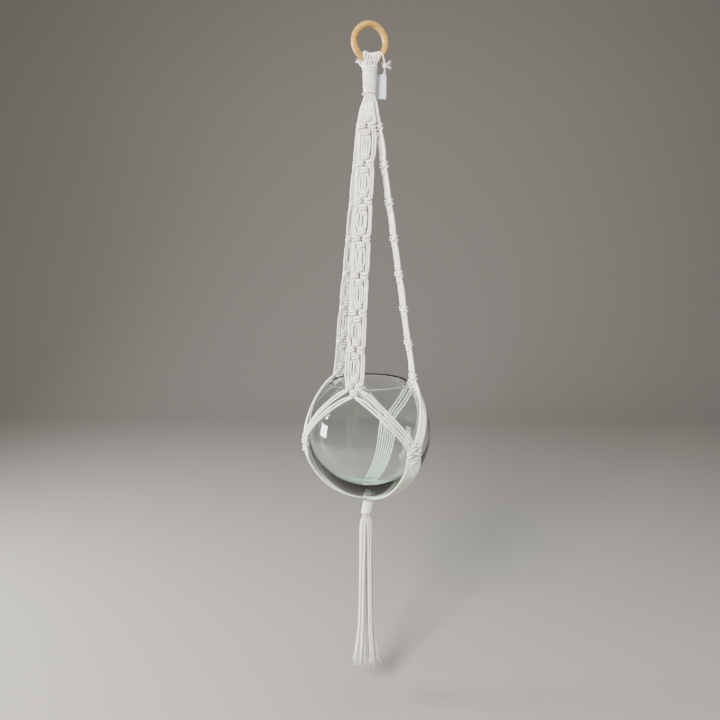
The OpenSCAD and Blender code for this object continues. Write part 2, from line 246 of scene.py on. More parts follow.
# %% [markdown]
# ## The square knot
#
# Each knot takes four strands. The two in the middle run straight through. The left one crosses in
# front of them and back again, and the right one does the same behind, so that each turns round at
# the far side. Two crossings make one flat square knot, with two bars across its face.
# Four knots make a diamond: one above, two side by side, one below, and a small hole in the middle.

# %% The square knot and the diamond
KNOT_CORD, KNOT_HALF_W, SIDE_KNOT = 3.3, 5.0, 7.7
FRONT_WORKER = [(-1, 0, 0.6), (-0.8, -0.75, 0.37), (0, -1, 0.26), (0.76, -0.7, 0.17), (1.03, 0.25, 0)]
BACK_WORKER = [(1, 0, 0.6), (0.8, 0.75, 0.37), (0, 1, 0.26), (-0.76, 0.7, 0.17), (-1.03, -0.3, 0)]
FILLER = [(0.3, 0, 0.6), (0.27, 0, 0)]


def mirrored_down(places):
    return places + [(u, depth, -up) for u, depth, up in reversed(places[:-1])]


def square_knot(strand, middle, up, flip):
    """One strand's way through a knot, as (sideways, depth, up) in millimetres."""
    shape = {0: FRONT_WORKER, 3: BACK_WORKER}.get(strand, FILLER)
    across = flip * (-1 if strand == 1 else 1)
    return [
        (middle + across * u * KNOT_HALF_W, depth * KNOT_CORD, up + h * KNOT_HEIGHT)
        for u, depth, h in mirrored_down(shape)
    ]


def diamond(lane):
    """One lane's way down through a diamond of four knots."""
    left = lane < 4
    strand, flip = (lane, 1) if left else (7 - lane, -1)
    side = square_knot(strand, -flip * SIDE_KNOT, 0, flip)
    if lane in (0, 1, 6, 7):
        return side
    return square_knot(lane - 2, 0, KNOT_STEP, 1) + side + square_knot(lane - 2, 0, -KNOT_STEP, 1)


print("a middle lane passes", len(diamond(3)), "places in one diamond")

# %% [markdown]
# ## Down the strap
#
# Between two diamonds the eight strands hang free. Hand-tied cords are never equally tight, so each
# free stretch gets its own small sideways and outward slack, drawn from a seeded generator so that
# every run makes the same planter.

# %% Down one strap
slack = np.random.default_rng(7)
FREE_LANES = (-13.9, -10.4, -6.3, -2.1, 2.1, 6.3, 10.4, 13.9)


def on_strap(strap, t, depth, down):
    r = STRAP_TOP_R + down * math.sin(lean) - depth * math.cos(lean)
    z = strap_top_z - down * math.cos(lean) - depth * math.sin(lean)
    return facing(STRAP_TURN + 120 * strap, r, t, z)


def strap_places(strap, lane):
    places = []
    for i in range(DIAMONDS):
        middle = STRAP_LENGTH - LAST_DIAMOND_UP - (DIAMONDS - 1 - i) * DIAMOND_PITCH
        places += [(on_strap(strap, t, depth, middle - up), KNOT_CORD) for t, depth, up in diamond(lane)]
        if i < DIAMONDS - 1:
            reach = (17, 28, 39) if lane in (0, 1, 6, 7) else (21, 28, 35)
            sideways, outward = slack.normal(0, 0.75), slack.normal(0, 0.7)
            for k, down in enumerate(reach):
                bow = 1.0 if k == 1 else 0.75
                t = FREE_LANES[lane] + sideways * bow
                places.append((on_strap(strap, t, outward * bow, middle + down), CORD))
    return places


print("a strap's lane passes", len(strap_places(0, 0)), "places")

# %% [markdown]
# ## The net round the globe
#
# At the foot of a strap the lanes part, four to the left and four to the right, and meet the
# neighbouring strap's four at a junction low on the bowl. A taut cord takes the shortest way over the
# glass, so each stretch is an arc of a circle through its ends and the middle of that shortest way.
# Under the bowl all lanes run in to the lower wrapping.

# %% The net round the globe
def globe_radius(z):
    return GLOBE_R * math.sqrt(max(0.0, 1 - ((z - globe_z) / GLOBE_H) ** 2))


def circle_through(a, b, c, shares):
    """Points on the arc a-b-c, at the given shares of its sweep."""
    u, v = b - a, c - a
    w = np.cross(u, v)
    centre = a + (np.cross(w, u) * (v @ v) + np.cross(v, w) * (u @ u)) / (2 * (w @ w))
    x = (a - centre) / np.linalg.norm(a - centre)
    y = np.cross(w / np.linalg.norm(w), x)
    sweep_angle = math.atan2((c - centre) @ y, (c - centre) @ x) % (2 * math.pi)
    r = np.linalg.norm(a - centre)
    return [centre + r * (x * math.cos(sweep_angle * s) + y * math.sin(sweep_angle * s)) for s in shares]


def on_globe(point):
    """The direction of a point from the globe's middle, as if the globe were a ball of radius 1."""
    way = (point - np.array([0, 0, globe_z])) / (GLOBE_R, GLOBE_R, GLOBE_H)
    return way / np.linalg.norm(way)


def from_middle(lane):
    return int(abs(lane - 3.5))


def lane_x(lane):
    return (lane - 3.5) * LANE_PITCH


def net_places(strap, lane):
    """From the foot of the strap to the end of the junction's diamond."""
    lean_out = math.tan(lean)
    leave_z = strap_bottom_z + (0, 2.5, 9, 11.5)[from_middle(lane)]
    leave_r = STRAP_TOP_R + (strap_top_z - leave_z) * lean_out
    leave = facing(STRAP_TURN + 120 * strap, leave_r, lane_x(lane), leave_z)
    m = (lane + 4) % 8
    azimuth = STRAP_TURN + 120 * strap + (-60 if lane < 4 else 60)
    arrive = facing(azimuth, JUNCTION_R, lane_x(m), junction_z + 12 + (6, 4, 2, 0)[from_middle(m)])
    middle = on_globe(leave) + on_globe(arrive)
    azimuth_between = math.degrees(math.atan2(middle[0], -middle[1]))
    z = globe_z + GLOBE_H * middle[2] / np.linalg.norm(middle)
    shoulder = facing(azimuth_between, globe_radius(z) + CORD / 2 + 0.7, 0, z)
    arc = circle_through(leave, shoulder, arrive, (0.12, 0.25, 0.4, 0.55, 0.7, 0.85, 0.95))
    places = [(p, CORD) for p in arc]
    for t, depth, up in diamond(m):
        places.append((facing(azimuth, JUNCTION_R - depth, t, junction_z + up), KNOT_CORD))
    return places, azimuth, m


def cradle_places(azimuth, m):
    """From the junction, under the bowl, into the lower wrapping."""
    drop = facing(azimuth, JUNCTION_R, lane_x(m), junction_z - 16)
    gather_t = (m - 3.5) * GATHER_PITCH
    gather = facing(azimuth, math.sqrt(GATHER_R ** 2 - gather_t ** 2), gather_t, foot_z - 5)
    low = math.radians(CRADLE_ANGLE)
    cradle_r = GLOBE_R * math.cos(low) + 2.2
    share = (JUNCTION_R - cradle_r) / (JUNCTION_R - GATHER_R)
    cradle_t = lane_x(m) * (1 - share) + gather_t * share
    cradle = facing(azimuth, cradle_r, cradle_t, globe_z - GLOBE_H * math.sin(low) - 2.3)
    arc = circle_through(drop, cradle, gather, (0.06, 0.2, 0.35, 0.5, 0.65, 0.8, 0.93, 1))
    places = [(p, CORD - 0.25) for p in arc]
    heel_azimuth = azimuth + (m - 3.5) * 15
    heel_r = heel_far if m % 2 == 0 else heel_near
    places.append((facing(heel_azimuth, heel_r + 3.2, 0, heel_top + 5.5), CORD - 0.3))
    places.append((facing(heel_azimuth, heel_r, 0, heel_top - 2), HEEL_CORD))
    places.append((set_aside(facing(heel_azimuth, heel_r, 0, heel_bottom + 7)), HEEL_CORD))
    return places


print("the straps' foot is at", round(strap_bottom_z, 1), "mm")
print("the junctions are at", round(junction_z, 1), "mm")

# %% [markdown]
# ## The twelve folded cords
#
# One cord is two strands: it comes up one strap, over the ring, and down another strap, so each of
# the twelve is a single long piece, as it is when the hanger is tied. Six loops lie against the wood,
# and six lie over them in the gaps, which is why only a few show side by side on the ring.

# %% The lower wrapping's set to one side
def set_aside(point):
    """The lower wrapping was pulled tight a little off upright, and the tassel hangs from there."""
    share = min(1.0, max(0.0, (heel_top - point[2]) / HEEL_LENGTH))
    return point + facing(LEFT, SET * share, 0, 0)


print("the tassel hangs", SET, "mm to one side")


# %% The twelve folded cords
FRONT_OUTER = [(0, 2), (0, 4), (0, 6), (0, 5), (0, 7), (1, 0)]
FRONT_INNER = [(0, 0), (0, 1), (0, 3), (1, 1), (1, 3), (1, 2)]
BACK_OUTER = [(2, 6), (2, 4), (2, 2), (2, 0), (1, 7), (1, 6)]
BACK_INNER = [(2, 7), (2, 5), (2, 3), (2, 1), (1, 5), (1, 4)]
LOOP_PITCH = 4.7


def bundle_place(strap, lane, spread, z):
    r = 5.456 if lane % 2 == 0 else 3.2
    return facing(STRAP_TURN + 120 * strap, spread * r, spread * 1.327 * (lane - 3), z)


def strand_places(strap, lane, start):
    """All of one strand, from the side of its loop to the tassel."""
    places = [
        (start, LOOP_CORD),
        (between(start, bundle_place(strap, lane, 1.3, COLLAR_TOP), 0.6), LOOP_CORD),
        (bundle_place(strap, lane, 1, COLLAR_TOP - 9), SQUEEZED),
        (bundle_place(strap, lane, 1, collar_bottom + 2), SQUEEZED),
        (bundle_place(strap, lane, 1.3, collar_bottom - 5), CORD - 0.3),
        (on_strap(strap, lane_x(lane) * 0.6, slack.normal(0, 0.5), -12), CORD),
    ]
    places += strap_places(strap, lane)
    net, azimuth, m = net_places(strap, lane)
    return places + net + cradle_places(azimuth, m)


def folded_cord(number):
    inside = number > 6
    column = (number - 1) % 6
    x = (column - 2.5) * LOOP_PITCH + (LOOP_PITCH / 2 if inside else 0) - 0.8
    r = RING_TUBE / 2 + 0.15 + LOOP_CORD / 2 + (0 if inside else 2.1)
    z = -math.sqrt(RING_R ** 2 - x ** 2)
    front = (FRONT_INNER if inside else FRONT_OUTER)[column]
    back = (BACK_INNER if inside else BACK_OUTER)[column]
    towards = np.array([x, 0, z]) / RING_R
    loop = [np.array([0, -r * math.cos(a), 0]) + np.array([x, 0, z]) - towards * r * math.sin(a)
            for a in np.radians((22, 45, 68, 90, 112, 135, 158))]
    up = strand_places(*front, np.array([x, -r, z]))
    down = strand_places(*back, np.array([x, r, z]))
    return up[::-1] + [(p, LOOP_CORD) for p in loop] + down


for number in range(1, 13):
    parts = MeshParts()
    length = sweep(parts, smooth_route(folded_cord(number), 1.3), start_turn=number)
    cord = parts.finish(f"cotton_cord_{number}")
    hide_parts(f"cord_{number}")
    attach(cord, "hanger")
    print("cord", number, "is", round(length), "mm from wrapping to wrapping")

# %% [markdown]
# ## The wrappings
#
# A gathering knot is one cord wound tightly round all the others, with both of its ends pulled in
# under the turns. It is a helix, and its ends show: one is cut and frays a little at the top left,
# and a stub shows at the bottom. The same cord section is swept along the helix.

# %% The wrappings
def wound_route(r, top, bottom, turns, width, start_azimuth, grow=lambda share: 0.0):
    """A helix from top to bottom, one place every 20 degrees."""
    steps = turns * 18
    places = []
    for i in range(steps + 1):
        share = i / steps
        z = top - width / 2 - (top - bottom - width) * share
        places.append((facing(start_azimuth + 20 * i, r + grow(share), 0, z), width))
    return places


def collar_shape(share):
    """Wider where it grips the loops, and tapering a little downwards."""
    return 1.4 * max(0.0, 1 - share * 6) + 0.5 - 1.3 * share


wrap_r, wrap_cord = COLLAR_R - 1.8, 3.62
collar_places = [
    (facing(LEFT - 22, 18.5, 0, COLLAR_TOP + 7), wrap_cord * 0.75),
    (facing(LEFT - 24, 15.0, 0, COLLAR_TOP + 2.5), wrap_cord * 0.85),
    (facing(LEFT - 20, 11.6, 0, COLLAR_TOP - 0.6), wrap_cord * 0.95),
] + wound_route(wrap_r, COLLAR_TOP, collar_bottom, 12, wrap_cord, LEFT, collar_shape) + [
    (facing(LEFT + 20, wrap_r + 0.8, 0, collar_bottom + 1.2), wrap_cord * 0.9),
    (facing(LEFT + 34, wrap_r + 3.4, 0, collar_bottom + 0.2), wrap_cord * 0.8),
]
parts = MeshParts()
sweep(parts, smooth_route(collar_places, 1.3), lay=10)
upper_wrap = parts.finish("upper_wound_cord")
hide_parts("top_wrapping")
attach(upper_wrap, "hanger")

heel_wrap_r, heel_wrap_cord = HEEL_R - 1.7, 3.45
lower_places = wound_route(heel_wrap_r, heel_top, heel_bottom, 7, heel_wrap_cord, LEFT)
lower_places = [(set_aside(point), width) for point, width in lower_places]
parts = MeshParts()
sweep(parts, smooth_route(lower_places, 1.3), lay=10)
lower_wrap = parts.finish("lower_wound_cord")
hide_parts("bottom_wrapping")
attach(lower_wrap, "hanger")
print("wound 12 turns above and 7 below")

# %% [markdown]
# ## The tassel
#
# Below the lower wrapping the 24 strands hang free. They stay close for most of their length and
# open towards the ends, where the plies come apart. Each one is its own cord with its own slack and
# its own cut, because a tassel of equal strands looks like a brush.

# %% The tassel's strands
ROUTE = [(5, 0.0), (12, 0.4), (24, 0.64), (60, 0.68), (110, 0.74), (160, 0.86), (205, 1.15), (240, 1.7),
         (266, 2.25)]
tassel_slack = np.random.default_rng(21)
tassel_ends = []


def tassel_places(number):
    """The far strands make the outside of the tassel, the near ones fill its middle."""
    index = number - 1
    lane = index % 8
    azimuth = STRAP_TURN + 60 + 120 * (index // 8) + (lane - 3.5) * 15
    r, open_r = (heel_far, 6.2) if lane % 2 == 0 else (heel_near, 3.2)
    cut = tassel_slack.uniform(0, 9)
    drift = tassel_slack.normal(0, 1.2)
    turn = tassel_slack.normal(0, 11)
    bulge = tassel_slack.normal(0, 0.8)
    places = [(set_aside(facing(azimuth, r, 0, heel_bottom + up)), HEEL_CORD) for up in (5, 0)]
    for down, spread in ROUTE:
        down = down * (TASSEL_LENGTH - cut) / TASSEL_LENGTH
        hang = min(1, down / 120)
        out = r + open_r * spread + bulge * hang
        at = facing(azimuth + turn * hang, out, drift * hang, heel_bottom - down)
        places.append((set_aside(at), min(CORD + 0.1, HEEL_CORD + 2.3 * spread)))
    return places


for number in range(1, 25):
    route = smooth_route(tassel_places(number), 1.4)
    parts = MeshParts()
    length = sweep(parts, route, start_turn=number * 0.7)
    strand = parts.finish(f"tassel_cord_{number}")
    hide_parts(f"tassel_strand_{number}")
    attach(strand, "tassel")
    tassel_ends.append((route[-1, :3], route[-1, :3] - route[-6, :3]))
print("24 strands, the last one", round(length), "mm long")

# %% [markdown]
# ## Frayed ends
#
# Where cotton cord is cut, its plies untwist into threads. Each end gets some thirty fine threads that
# start inside the cord, go on in its direction and drift apart, all in one mesh.

# %% Frayed ends
def fray(parts, end, direction, count, length, spread, seed):
    """Fine threads that start just inside a cut end and open out."""
    dice = np.random.default_rng(seed)
    ahead = direction / np.linalg.norm(direction)
    for _ in range(count):
        aside = dice.normal(0, 1, 3)
        aside -= ahead * (aside @ ahead)
        reach = length * dice.uniform(0.5, 1.0)
        start = end - ahead * 2.5 + aside * 0.35
        bend = dice.normal(0, 0.6, 3)
        places = [(start + ahead * reach * s + aside * spread * s ** 1.6 + bend * s * s, 0.62 - 0.3 * s)
                  for s in (0, 0.25, 0.5, 0.75, 1)]
        sweep(parts, smooth_route(places, 2.2), section=(1, 1, 1, 1, 1))


parts = MeshParts()
for i, (end, direction) in enumerate(tassel_ends):
    fray(parts, end, direction, 30, 13.0, 2.3, 100 + i)
tassel_fray = parts.finish("tassel_frayed_threads")
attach(tassel_fray, "tassel")

parts = MeshParts()
fray(parts, collar_places[0][0], collar_places[0][0] - collar_places[1][0], 26, 7.5, 1.7, 5)
fray(parts, collar_places[-1][0], collar_places[-1][0] - collar_places[-2][0], 14, 2.6, 0.6, 6)
wrap_fray = parts.finish("wrapping_frayed_threads")
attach(wrap_fray, "hanger")
print("frayed", len(tassel_ends) + 2, "cut ends")

# %% [markdown]
# ## The ring
#
# The ring is turned from a light hardwood, sanded and varnished. A torus of many narrow rings gives
# a clean highlight; a very slight flattening keeps it from looking machine-perfect.

# %% The wooden ring
def turned_ring(rounds=180, sides=40):
    points, faces, along = [], [], []
    for i in range(rounds):
        a = 2 * math.pi * i / rounds
        for j in range(sides):
            b = 2 * math.pi * j / sides
            tube = RING_TUBE / 2 * (1 - 0.012 * math.cos(2 * b) - 0.004 * math.sin(3 * a))
            r = RING_R + tube * math.cos(b)
            points.append((r * math.cos(a), tube * math.sin(b), r * math.sin(a)))
            along.append((i / rounds, j / sides))
            here, after = i * sides, (i + 1) % rounds * sides
            beside = (j + 1) % sides
            faces.append((here + j, here + beside, after + beside, after + j))
    parts = MeshParts()
    parts.add(np.array(points), faces, np.array(along))
    return parts.finish("turned_ring")


ring = turned_ring()
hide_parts("wooden_ring")
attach(ring, "ring")
print("ring", 2 * RING_R + RING_TUBE, "mm across")

# %% [markdown]
# ## The glass globe
#
# Blown globe bowls have a thin wall, a cut and fire-polished rim, and a heavy foot with the
# faint ring left by the pontil. The section is drawn as one closed line, outside and inside, and
# spun. Real thickness matters: glass bends light at both of its faces, and only then do the dark
# edge of the rim and the green of the thick foot appear by themselves. The wall is even down to the
# middle and thickens from there to the foot, where the glass gathered as it was blown.

# %% The glass globe
def ellipse_points(half_w, half_h, low, high, steps):
    first, last = math.asin(low / half_h), math.asin(high / half_h)
    turns = [first + (last - first) * i / steps for i in range(steps + 1)]
    return [(half_w * math.cos(a), half_h * math.sin(a)) for a in turns]


def globe_section():
    """From the middle of the foot, up the outside, over the rim and down the inside."""
    pontil = [(0, -foot_down + 0.9), (5, -foot_down + 0.8), (9, -foot_down + 0.5), (11, -foot_down + 0.1)]
    foot = [(13, -foot_down + 0.4), (16, -foot_down + 0.1), (21, -foot_down)]
    outside = ellipse_points(GLOBE_R, GLOBE_H, -foot_down + 1.6, rim_up - 1.2, 56)
    edge_r = outside[-1][0]
    rim = [(edge_r - 0.9 + 0.9 * math.cos(a) - 0.25, rim_up - 1.0 + 1.0 * math.sin(a))
           for a in np.radians((30, 60, 90))]
    rim += [(edge_r - GLASS_WALL + 1.3, rim_up), (edge_r - GLASS_WALL + 0.6, rim_up - 0.35)]
    inner_r = GLOBE_R - GLASS_WALL
    bowl_h = foot_down - GLASS_FOOT
    shoulder = ellipse_points(inner_r, GLOBE_H - GLASS_WALL, 0, rim_up - 1.2, 32)[::-1]
    bowl = ellipse_points(inner_r, bowl_h, -bowl_h + 0.5, 0, 40)[:-1][::-1]
    floor = [(bowl[-1][0] * 0.6, -bowl_h + 0.35), (0, -bowl_h + 0.3)]
    return pontil + foot + outside + rim + shoulder + bowl + floor


def spun_glass(section, sides=144):
    points, faces, along = [], [], []
    for r, z in section[1:-1]:
        for j in range(sides):
            a = 2 * math.pi * j / sides
            points.append((r * math.cos(a), r * math.sin(a), z + globe_z))
            along.append((z / 10, j / sides))
    rows = len(section) - 2
    for i in range(rows - 1):
        for j in range(sides):
            k = (j + 1) % sides
            faces.append((i * sides + j, i * sides + k, (i + 1) * sides + k, (i + 1) * sides + j))
    points += [(0, 0, section[0][1] + globe_z), (0, 0, section[-1][1] + globe_z)]
    along += [(0, 0), (0, 0)]
    for j in range(sides):
        k = (j + 1) % sides
        faces.append((rows * sides, k, j))
        faces.append((rows * sides + 1, (rows - 1) * sides + j, (rows - 1) * sides + k))
    parts = MeshParts()
    parts.add(np.array(points), faces, np.array(along))
    return parts.finish("blown_globe")


globe = spun_glass(globe_section())
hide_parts("glass_globe")
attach(globe, "globe")
print("globe has", len(globe.data.polygons), "faces")

# %% [markdown]
# ## The label
#
# A small woven label hangs from its own cord beside the upper wrapping. It is a soft strip of tape,
# so it is a thin sheet with a slight curl, hung a little askew. It is left blank.

# %% The label
LABEL_W, LABEL_H, LABEL_T = 17.0, 37.5, 0.5
LABEL_LEFT, LABEL_TOP, LABEL_Y = 11.6, -41.0, 4.2


def label_sheet(across=18, down=36):
    points, faces, along = [], [], []
    for side in (0, 1):
        for i in range(down + 1):
            for j in range(across + 1):
                u, v = j / across, i / down
                curl = 1.6 * (u - 0.5) ** 2 * 4 * (0.4 + 0.6 * v) - 0.8 * math.sin(math.pi * v)
                x = LABEL_LEFT + LABEL_W * u + 0.5 * v
                z = LABEL_TOP - LABEL_H * v - 4.0 * (1 - u) * (1 - v)
                points.append((x, LABEL_Y + curl + side * LABEL_T, z))
                along.append((u * LABEL_W / 10, v * LABEL_H / 10))
    row, layer = across + 1, (across + 1) * (down + 1)
    for i in range(down):
        for j in range(across):
            a, b, c, d = i * row + j, i * row + j + 1, (i + 1) * row + j + 1, (i + 1) * row + j
            faces += [(a, d, c, b), (layer + a, layer + b, layer + c, layer + d)]
    border = [j for j in range(across)] + [i * row + across for i in range(down)]
    border += [down * row + j for j in range(across, 0, -1)] + [i * row for i in range(down, 0, -1)]
    for a, b in zip(border, border[1:] + border[:1]):
        faces.append((a, b, layer + b, layer + a))
    parts = MeshParts()
    parts.add(np.array(points), faces, np.array(along))
    return parts.finish("blank_label")


tape = label_sheet()
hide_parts("label")
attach(tape, "tag")

# %% [markdown]
# ## The label's cord
#
# A thinner cord is looped over the ring, tied in an overhand knot, and one of its ends goes on to
# the label. The loop is one cord; the knot is a small bundle of turns around it.

# %% The label's cord
TAG_CORD, TAG_X, TAG_R = 2.8, 17.6, 6.7
knot_at = np.array([23.4, -1.5, -32.5])
pivot_z = -math.sqrt(RING_R ** 2 - TAG_X ** 2)
outwards = np.array([TAG_X, 0, pivot_z]) / RING_R
tag_loop = [np.array([TAG_X, -TAG_R * math.cos(a), pivot_z]) - outwards * TAG_R * math.sin(a)
            for a in np.radians((0, 30, 60, 90, 120, 150, 180))]
corner = np.array([LABEL_LEFT + LABEL_W - 4.0, LABEL_Y - 0.2, LABEL_TOP - 1.6])
tag_places = [knot_at + (0.6, -1.0, 1.5), between(tag_loop[0], knot_at, 0.5) + (0.5, -0.6, 0)] + tag_loop
tag_places += [between(tag_loop[-1], knot_at, 0.5) + (0.4, 0.6, 0), knot_at + (-0.3, 1.0, 0.6)]
tag_places += [knot_at + (0.3, 0.2, -2.5), between(knot_at, corner, 0.6) + (0.9, 0, 0), corner]
tag_route = smooth_route([(p, TAG_CORD) for p in tag_places], 1.1)
parts = MeshParts()
tag_length = sweep(parts, tag_route, lay=8)
tag_cord = parts.finish("label_loop_cord")
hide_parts("label_cord")
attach(tag_cord, "tag")

parts = MeshParts()
turns = []
for i in range(30):
    a = math.radians(i * 24)
    turns.append((knot_at + (2.1 * math.cos(a), 2.1 * math.sin(a), 1.5 - 0.1 * i), TAG_CORD))
sweep(parts, smooth_route(turns, 1.0), lay=8)
for k, (dx, dy, dz) in enumerate([(5.0, -3.0, 4.5), (6.5, -0.5, -1.0)]):
    tail = [knot_at, knot_at + np.array([dx, dy, dz]) * 0.5, knot_at + np.array([dx, dy, dz])]
    sweep(parts, smooth_route([(p, TAG_CORD * 0.9) for p in tail], 1.0), lay=8)
    fray(parts, tail[-1], tail[-1] - tail[-2], 20, 7.0, 1.6, 40 + k)
tag_knot = parts.finish("label_cord_knot")
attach(tag_knot, "tag")
print("label cord", round(tag_length), "mm")

# %% [markdown]
# ## Finishes
#
# Every finish is worked out from patterns, never from a picture. A small helper places nodes and
# joins them, so that each finish below reads as a short recipe.

# %% A helper for recipes
def new_finish(name):
    finish = bpy.data.materials.new(name)
    finish.use_nodes = True
    finish.node_tree.nodes.clear()
    return finish, finish.node_tree


def put(tree, kind, links=None, **settings):
    """Adds a node, sets its properties or input values, and links its inputs."""
    node = tree.nodes.new(kind)
    for key, value in settings.items():
        if hasattr(node, key) and key not in node.inputs:
            setattr(node, key, value)
        else:
            node.inputs[key].default_value = value
    for key, source in (links or {}).items():
        tree.links.new(source, node.inputs[key])
    return node


def colour_steps(tree, source, steps):
    ramp = put(tree, "ShaderNodeValToRGB", {"Fac": source})
    bands = ramp.color_ramp.elements
    while len(bands) < len(steps):
        bands.new(0.5)
    for band, (place, colour) in zip(bands, steps):
        band.position = place
        band.color = (*colour, 1)
    return ramp.outputs["Color"]


# %% [markdown]
# ## Cotton
#
# Natural cotton is off-white, matt, and slightly uneven: warmer where it has been handled. The grooves
# between the plies are darkened with painted shade, and a little grime. Fine threads run along each ply,
# so the noise is stretched along the cord's own map.
# A little sheen stands for the fuzz that catches light at the edges.

# %% Cotton
def cotton_finish():
    finish, tree = new_finish("natural_cotton")
    along = put(tree, "ShaderNodeUVMap", uv_map="along").outputs["UV"]
    threads_at = put(tree, "ShaderNodeMapping", {"Vector": along}).outputs["Vector"]
    threads_at.node.inputs["Scale"].default_value = (2.2, 34, 1)
    threads = put(tree, "ShaderNodeTexNoise", {"Vector": threads_at}, Scale=1.0, Detail=3.0, Roughness=0.6)
    place = put(tree, "ShaderNodeTexCoord").outputs["Object"]
    patches = put(tree, "ShaderNodeTexNoise", {"Vector": place}, Scale=38.0, Detail=4.0, Roughness=0.6)
    patch_colour = colour_steps(tree, patches.outputs["Fac"], [
        (0.3, (0.80, 0.76, 0.68)), (0.46, (0.90, 0.885, 0.84)), (0.7, (0.93, 0.925, 0.90))])
    thread_colour = colour_steps(tree, threads.outputs["Fac"], [
        (0.3, (0.72, 0.68, 0.60)), (0.55, (1, 1, 1))])
    colour = put(tree, "ShaderNodeMix", data_type="RGBA", blend_type="MULTIPLY")
    colour.inputs[0].default_value = 0.75
    tree.links.new(patch_colour, colour.inputs[6])
    tree.links.new(thread_colour, colour.inputs[7])
    around = put(tree, "ShaderNodeSeparateXYZ", {"Vector": along}).outputs["Y"]
    plies = put(tree, "ShaderNodeMath", {0: around}, operation="MULTIPLY")
    plies.inputs[1].default_value = 3.0
    across_ply = put(tree, "ShaderNodeMath", {0: plies.outputs[0]}, operation="FRACT").outputs[0]
    # Painted shade: the colour is darkened in the three grooves between the plies, with a little grime.
    groove_painted_shade = colour_steps(tree, across_ply, [
        (0.0, (0.34, 0.30, 0.23)), (0.2, (0.93, 0.92, 0.89)), (0.5, (1, 1, 1)), (0.8, (0.93, 0.92, 0.89)),
        (1.0, (0.34, 0.30, 0.23))])
    # The cotton colour times the painted shade of the grooves.
    rope_colour_with_painted_shade = put(tree, "ShaderNodeMix", data_type="RGBA", blend_type="MULTIPLY")
    rope_colour_with_painted_shade.inputs[0].default_value = 1.0
    tree.links.new(colour.outputs[2], rope_colour_with_painted_shade.inputs[6])
    tree.links.new(groove_painted_shade, rope_colour_with_painted_shade.inputs[7])
    bump = put(tree, "ShaderNodeBump", {"Height": threads.outputs["Fac"]}, Strength=0.55, Distance=0.0004)
    shader = put(tree, "ShaderNodeBsdfPrincipled", {
        "Base Color": rope_colour_with_painted_shade.outputs[2], "Normal": bump.outputs["Normal"]})
    shader.inputs["Roughness"].default_value = 0.92
    shader.inputs["Specular IOR Level"].default_value = 0.25
    shader.inputs["Sheen Weight"].default_value = 0.35
    shader.inputs["Sheen Roughness"].default_value = 0.5
    put(tree, "ShaderNodeOutputMaterial", {"Surface": shader.outputs["BSDF"]})
    return finish


cotton = cotton_finish()
for piece in bpy.data.objects:
    if piece.type == "MESH" and piece.get("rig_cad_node") is None and piece not in (ring, globe, tape):
        piece.data.materials.append(cotton)
meshes = [o for o in bpy.data.objects if o.type == "MESH"]
print("cotton on", sum(cotton.name in o.data.materials for o in meshes), "pieces")

# %% [markdown]
# ## Varnished wood
#
# A honey-coloured hardwood under clear varnish: long grain that follows the plank the ring was cut
# from, small dark pores, and a glossy coat. The grain is in straight lines across the whole ring,
# because a ring is cut from a board and isn't bent.

# %% Varnished wood
def wood_finish():
    finish, tree = new_finish("varnished_hardwood")
    place = put(tree, "ShaderNodeTexCoord").outputs["Object"]
    stretched = put(tree, "ShaderNodeMapping", {"Vector": place})
    stretched.inputs["Scale"].default_value = (60, 420, 520)
    stretched.inputs["Rotation"].default_value = (0, math.radians(24), 0)
    grain = put(tree, "ShaderNodeTexNoise", {"Vector": stretched.outputs["Vector"]}, Scale=1.0, Detail=5.0,
                Roughness=0.62, Distortion=0.6)
    broad = put(tree, "ShaderNodeTexNoise", {"Vector": place}, Scale=60.0, Detail=2.0)
    grain_colour = colour_steps(tree, grain.outputs["Fac"], [
        (0.28, (0.20, 0.095, 0.018)), (0.46, (0.38, 0.215, 0.05)), (0.64, (0.50, 0.31, 0.09))])
    broad_colour = colour_steps(tree, broad.outputs["Fac"], [
        (0.35, (0.80, 0.72, 0.62)), (0.65, (1, 1, 1))])
    colour = put(tree, "ShaderNodeMix", data_type="RGBA", blend_type="MULTIPLY")
    colour.inputs[0].default_value = 0.8
    tree.links.new(grain_colour, colour.inputs[6])
    tree.links.new(broad_colour, colour.inputs[7])
    bump = put(tree, "ShaderNodeBump", {"Height": grain.outputs["Fac"]}, Strength=0.12, Distance=0.0003)
    shader = put(tree, "ShaderNodeBsdfPrincipled", {
        "Base Color": colour.outputs[2], "Normal": bump.outputs["Normal"]})
    shader.inputs["Roughness"].default_value = 0.38
    shader.inputs["Coat Weight"].default_value = 0.8
    shader.inputs["Coat Roughness"].default_value = 0.09
    put(tree, "ShaderNodeOutputMaterial", {"Surface": shader.outputs["BSDF"]})
    return finish


ring.data.materials.append(wood_finish())
print("ring varnished")

# %% [markdown]
# ## Clear glass
#
# Soda-lime glass is clear in a thin wall and green where light travels a long way through it. So the
# surface is plain glass, and the green is absorption inside the volume, which makes the foot and the
# rim darker without being painted. The faint waviness of blown glass is a very weak bump. Lamps shine
# through the globe onto the cords behind it, which plain refraction alone would leave in the dark.

